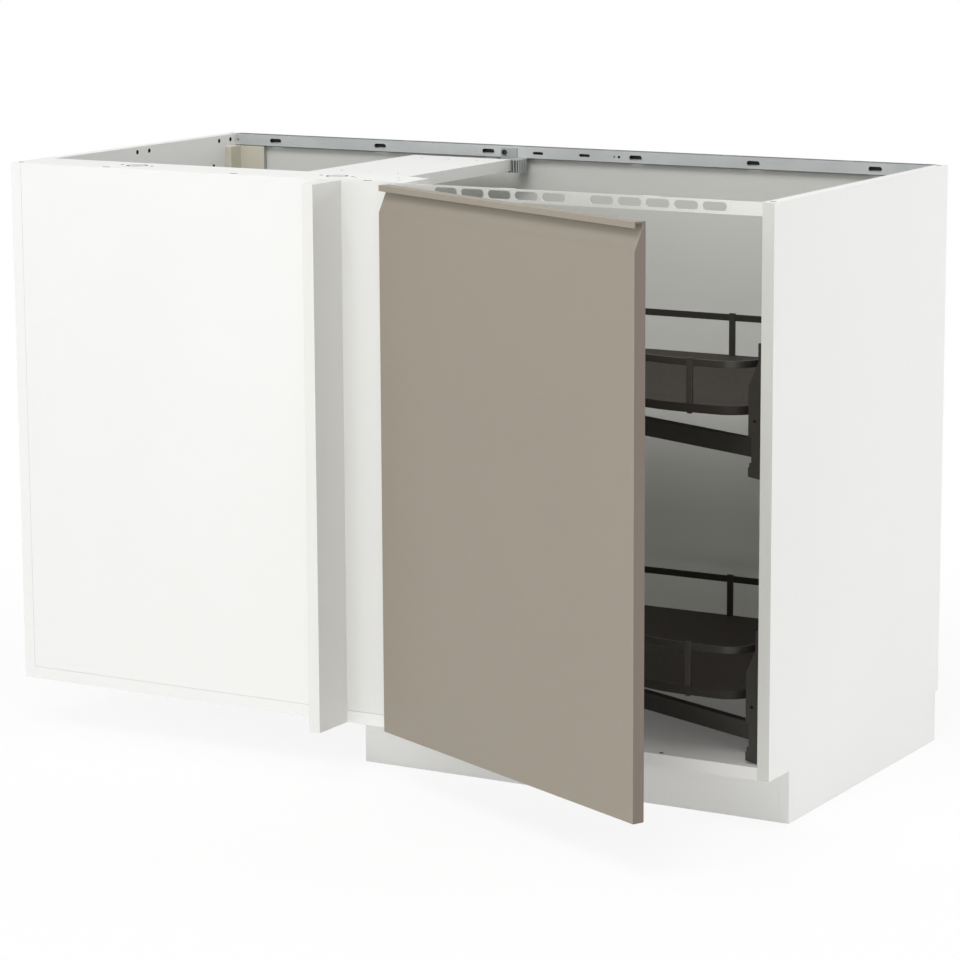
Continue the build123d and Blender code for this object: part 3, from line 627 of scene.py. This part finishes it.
def dress_suspension_rail():
    low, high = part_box("suspension_rail")
    piece = copy_of_node("suspension_rail", "galvanised_rail")
    lip_y = (low[1] + high[1]) / 2
    for slot_x in WALL_SLOTS:
        inward = -LIP_SLOT_OFFSET if slot_x > 0 else LIP_SLOT_OFFSET
        place = (RAIL_MIDDLE + slot_x + inward, lip_y, high[2])
        cut_out(piece, stadium_tool(place, LIP_SLOT_LENGTH, LIP_SLOT_WIDTH, LIP_SLOT_CUT))
    middle_z = (low[2] + high[2]) / 2
    for hole_x in (low[0] + END_HOLE_INSET, RAIL_MIDDLE + NAIL_HOLE_X):
        cut_out(piece, round_tool((hole_x, low[1], middle_z), NAIL_HOLE_RADIUS, NAIL_HOLE_CUT,
                                  turn=(math.radians(90), 0, 0), sides=16))
    ease_edges(piece, RAIL_EASE)
    shadow_line_top = low[2] + SHADOW_LINE_HEIGHT
    score_level_line(piece, shadow_line_top)
    finish_piece(piece, "suspension_rail", (rail_painted_shade,))

    # Painted shade on the top of the lip, painted shadow line on the lowest strip of the face
    def in_painted_shade(face):
        on_top = face.normal.z > 0.5 and face.center.z > high[2] - 1 * MM
        return on_top or face.center.z < shadow_line_top

    colour_faces(piece, in_painted_shade)


dress_suspension_rail()


# Round fittings: a ring groove round each cap, with painted shade in it


CAP_EASE = 0.2 * MM
GROOVE_DEPTH = 0.6 * MM
GROOVE_OUTSIDE, GROOVE_INSIDE = 0.93, 0.74


def dress_round_fittings():
    piece = copy_of_node("round_fittings", "round_caps")
    low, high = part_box("round_fittings")
    radius = (high[1] - low[1]) / 2
    for x in (low[0] + radius, high[0] - radius):
        centre = (x, low[1] + radius, high[2])
        groove = round_tool(centre, radius * GROOVE_OUTSIDE, 2 * GROOVE_DEPTH)
        cut_out(groove, round_tool(centre, radius * GROOVE_INSIDE, 2 * MM))
        cut_out(piece, groove)
    ease_edges(piece, CAP_EASE)
    finish_piece(piece, "round_fittings", (groove_painted_shade,))
    # Painted shade: faces below the top of each cap, in the groove and round the rim, are
    # coloured dark
    colour_faces(piece, lambda face: low[2] + 0.1 * MM < face.center.z < high[2] - 0.3 * MM)


dress_round_fittings()


# Screws with crossed recesses: the way the heads face, the recess's width and depth


SCREWS = {
    "fitting_screws": (UP, 4.2, 1.5),
    "rail_bracket_screw": (FRONT, 4.6, 1.6),
    "vent_rail_screws": (FRONT, 2.2, 0.8),
    "hinge_plate_screws": (RIGHT, 3.6, 0.8),
    "cup_screws": (DOOR_BACK, 3.6, 0.8),
    "lower_bracket_screws": (LEFT, 4.6, 1.0),
    "upper_bracket_screws": (LEFT, 4.6, 1.0),
}
RECESS_ARM = 0.24


def separate_solids(piece):
    """The corner places of each separate solid of a piece, in the mesh's own order."""
    mesh = bmesh.new()
    mesh.from_mesh(piece.data)
    waiting = set(mesh.verts)
    solids = []
    for first in mesh.verts:
        if first not in waiting:
            continue
        waiting.remove(first)
        reached = [first]
        corners = []
        while reached:
            corner = reached.pop()
            corners.append(corner.co.copy())
            for edge in corner.link_edges:
                other = edge.other_vert(corner)
                if other in waiting:
                    waiting.remove(other)
                    reached.append(other)
        solids.append(corners)
    mesh.free()
    return solids


def head_centre(corners, outward):
    """The middle of a screw's outermost face."""
    farthest = max(corner.dot(outward) for corner in corners)
    rim = [corner for corner in corners if corner.dot(outward) > farthest - SAME_LEVEL]
    return sum(rim, Vector()) / len(rim)


def recess_arms(centre, turn, width, depth):
    """The two blocks that cut a crossed recess."""
    arms = []
    for along, across in ((width, width * RECESS_ARM), (width * RECESS_ARM, width)):
        arm = block_tool((0, 0, 0), (along, across, 2 * depth))
        arm.rotation_euler = turn
        arm.location = centre
        fix_size_and_turn(arm)
        arms.append(arm)
    return arms


def dress_screws(node, outward, width, depth):
    piece = copy_of_node(node, node + "_crossed")
    centres = [head_centre(corners, outward) for corners in separate_solids(piece)]
    turn = outward.to_track_quat("Z", "Y").to_euler()
    for arm in [arm for centre in centres for arm in recess_arms(centre, turn, width, depth)]:
        cut_out(piece, arm)
    finish_piece(piece, node)


for node_name, (outward, width, depth) in SCREWS.items():
    dress_screws(node_name, outward, width * MM, depth * MM)


# Legs: ribs under the socket plate, a gripped collar above the foot


LEG_EASE = 0.6 * MM
SOCKET_RADIUS = 20 * MM
SOCKET_PLATE = 4 * MM
RIB_EASE = 0.3 * MM
RIB_LENGTH = 9 * MM
RIB_HEIGHT = 26 * MM
RIB_THICKNESS = 2.2 * MM
RIB_ROOT = 1 * MM
RIB_TAPER = 0.85
RIB_COUNT = 8
COLLAR_EASE = 0.8 * MM
COLLAR_RADIUS = 17 * MM
COLLAR_LOW = 8 * MM
COLLAR_HEIGHT = 10 * MM
GRIP_COUNT = 12
GRIP_RADIUS = 2.4 * MM
GRIP_OUTSET = 1.2 * MM


def socket_rib(plate_underside):
    """One rib, three-cornered: full length under the plate, nothing at its foot."""
    middle = SOCKET_RADIUS + RIB_LENGTH / 2 - RIB_ROOT
    half_way = plate_underside - RIB_HEIGHT / 2
    rib = block_tool((middle, 0, half_way), (RIB_LENGTH, RIB_THICKNESS, RIB_HEIGHT))
    edit_with(rib, "VERT", lambda corner: corner.co.x > middle and corner.co.z < half_way)
    bpy.ops.transform.translate(value=(-RIB_LENGTH * RIB_TAPER, 0, 0))
    end_editing()
    ease_edges(rib, RIB_EASE)
    return rib


def ring_of(first, count):
    """A piece and its copies, set evenly about the upright axis through the origin."""
    copies = [first]
    for number in range(1, count):
        twin = twin_of(first)
        twin.rotation_euler = (0, 0, number * (2 * math.pi / count))
        fix_size_and_turn(twin)
        copies.append(twin)
    return copies


def set_at(piece, places, name):
    """Copies of a piece moved to places. The piece itself goes."""
    copies = []
    for place in places:
        twin = twin_of(piece)
        twin.name = name
        twin.location = place
        fix_size_and_turn(twin)
        copies.append(twin)
    bpy.data.objects.remove(piece)
    return copies


def dress_leg_sockets(axes):
    piece = copy_of_node("leg_sockets", "ribbed_sockets")
    ease_edges(piece, LEG_EASE)
    rib = socket_rib(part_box("leg_sockets")[1][2] - SOCKET_PLATE)
    ribs = join_up(ring_of(rib, RIB_COUNT), "socket_ribs")
    sets = set_at(ribs, axes, "socket_ribs")
    finish_piece(join_up([piece, *sets], "ribbed_sockets"), "leg_sockets")


def grip_collar():
    """A collar with finger grooves for setting the foot's height."""
    middle = COLLAR_LOW + COLLAR_HEIGHT / 2
    collar = round_tool((0, 0, middle), COLLAR_RADIUS, COLLAR_HEIGHT, sides=4 * GRIP_COUNT)
    ease_edges(collar, COLLAR_EASE, angle=60)
    groove = round_tool((COLLAR_RADIUS + GRIP_OUTSET, 0, middle), GRIP_RADIUS,
                        2 * COLLAR_HEIGHT, sides=12)
    for cutter in ring_of(groove, GRIP_COUNT):
        cut_out(collar, cutter)
    return collar


def dress_leg_feet():
    """Dress the feet and give the place on the floor below each leg."""
    piece = copy_of_node("leg_feet", "levelling_feet")
    axes = []
    for corners in separate_solids(piece):
        xs = [corner.x for corner in corners]
        ys = [corner.y for corner in corners]
        axes.append(Vector(((min(xs) + max(xs)) / 2, (min(ys) + max(ys)) / 2, 0)))
    ease_edges(piece, LEG_EASE)
    collars = set_at(grip_collar(), axes, "grip_collar")
    finish_piece(join_up([piece, *collars], "levelling_feet"), "leg_feet")
    return axes


dress_leg_sockets(dress_leg_feet())


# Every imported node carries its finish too

for node_name, node_object in frame["nodes"].items():
    node_object.data.materials.clear()
    node_object.data.materials.append(finish_of_node(node_name))


# Floor, light and camera


FLOOR_WIDTH = 120
FLOOR_TONE = (0.92, 0.92, 0.92, 1)
FLOOR_FADE_START, FLOOR_FADE_END = 0.8, 1.9
WHITE_BY_THE_CABINET = 0.86
FILL_STRENGTH = 0.52

# Name, place, point it shines at, width and height, power, and whether it casts shadows
LAMPS = (
    ("key_from_the_left", (-3.4, -7.6, 1.9), (-0.2, 0, 0.45), (4.0, 3.0), 64, True),
    ("wash_from_the_right", (3.4, 1.9, 1.4), (0.6, 0.2, 0.5), (2.2, 2.2), 36, True),
    ("weak_light_from_the_front", (2.6, -6.2, 0.5), (0.3, 0, 0.15), (3.0, 0.8), 46, True),
    ("light_from_above_the_front", (0.2, -2.7, 4.5), (0.1, 0.1, 0.6), (2.6, 2.0), 98, True),
    # Stands for the light that is thrown back down inside the cabinet
    ("weak_fill_overhead", (0.2, 0.2, 5.2), (0.2, 0.2, 0), (2.0, 2.0), 28, False),
)

PHOTO_CAMERA_PLACE = (2.6232, -4.3862, 1.3711)
PHOTO_CAMERA_TURN = (79.4622, 0.2933, 29.971)
PHOTO_CAMERA_LENS = 130.98
SENSOR_WIDTH = 36


def seen_or_mirrored(nodes, links):
    """1 for what the camera sees straight, in a shine or through a clear piece, else 0."""
    path = nodes.new("ShaderNodeLightPath")
    seen = path.outputs["Is Camera Ray"]
    for ray in ("Is Glossy Ray", "Is Transmission Ray"):
        either = nodes.new("ShaderNodeMath")
        either.operation = "MAXIMUM"
        links.new(seen, either.inputs[0])
        links.new(path.outputs[ray], either.inputs[1])
        seen = either.outputs[0]
    return seen


def floor_finish():
    """Pale floor that turns white away from the cabinet and keeps its shadow."""
    finish = bpy.data.materials.new("pale_floor")
    finish.use_nodes = True
    nodes, links = finish.node_tree.nodes, finish.node_tree.links
    nodes.remove(nodes["Principled BSDF"])
    matt = nodes.new("ShaderNodeBsdfDiffuse")
    matt.inputs["Color"].default_value = FLOOR_TONE
    white = nodes.new("ShaderNodeEmission")
    white.inputs["Strength"].default_value = 1.0
    place = nodes.new("ShaderNodeTexCoord")
    distance = nodes.new("ShaderNodeVectorMath")
    distance.operation = "LENGTH"
    links.new(place.outputs["Object"], distance.inputs[0])
    fade = nodes.new("ShaderNodeMapRange")
    fade.interpolation_type = "SMOOTHSTEP"
    fade.inputs["From Min"].default_value = FLOOR_FADE_START
    fade.inputs["From Max"].default_value = FLOOR_FADE_END
    fade.inputs["To Min"].default_value = WHITE_BY_THE_CABINET
    fade.inputs["To Max"].default_value = 1.0
    links.new(distance.outputs["Value"], fade.inputs["Value"])
    share = nodes.new("ShaderNodeMath")
    share.operation = "MULTIPLY"
    links.new(seen_or_mirrored(nodes, links), share.inputs[0])
    links.new(fade.outputs["Result"], share.inputs[1])
    mix = nodes.new("ShaderNodeMixShader")
    links.new(share.outputs[0], mix.inputs["Fac"])
    links.new(matt.outputs[0], mix.inputs[1])
    links.new(white.outputs[0], mix.inputs[2])
    links.new(mix.outputs[0], nodes["Material Output"].inputs["Surface"])
    return finish


def lay_floor():
    deselect_all()
    bpy.ops.mesh.primitive_plane_add(size=FLOOR_WIDTH, location=(0, 0, 0))
    floor = bpy.context.object
    floor.name = "studio_floor"
    floor.data.materials.append(floor_finish())


def studio_world():
    """Plain surroundings: soft fill light, white to the eye and in a shine."""
    world = bpy.data.worlds.new("studio")
    bpy.context.scene.world = world
    world.use_nodes = True
    nodes, links = world.node_tree.nodes, world.node_tree.links
    fill = nodes["Background"]
    fill.inputs["Color"].default_value = (1, 1, 1, 1)
    fill.inputs["Strength"].default_value = FILL_STRENGTH
    white = nodes.new("ShaderNodeBackground")
    white.inputs["Strength"].default_value = 1.0
    mix = nodes.new("ShaderNodeMixShader")
    links.new(seen_or_mirrored(nodes, links), mix.inputs["Fac"])
    links.new(fill.outputs[0], mix.inputs[1])
    links.new(white.outputs[0], mix.inputs[2])
    links.new(mix.outputs[0], nodes["World Output"].inputs["Surface"])


def soft_lamp(name, place, target, size, power, shadow):
    lamp = bpy.data.lights.new(name, "AREA")
    lamp.use_shadow = shadow
    lamp.shape = "RECTANGLE"
    lamp.size, lamp.size_y = size
    lamp.energy = power
    holder = bpy.data.objects.new(name, lamp)
    bpy.context.scene.collection.objects.link(holder)
    holder.location = place
    aim = Vector(target) - Vector(place)
    holder.rotation_euler = aim.to_track_quat("-Z", "Y").to_euler()


def set_up_camera():
    camera = bpy.data.cameras.new("photo_camera")
    camera.lens = PHOTO_CAMERA_LENS
    camera.sensor_width = SENSOR_WIDTH
    camera.clip_end = 200
    holder = bpy.data.objects.new("photo_camera", camera)
    bpy.context.scene.collection.objects.link(holder)
    holder.location = PHOTO_CAMERA_PLACE
    holder.rotation_euler = [math.radians(angle) for angle in PHOTO_CAMERA_TURN]
    bpy.context.scene.camera = holder


lay_floor()
studio_world()
for lamp_values in LAMPS:
    soft_lamp(*lamp_values)
set_up_camera()
bpy.context.scene.view_settings.view_transform = "Standard"
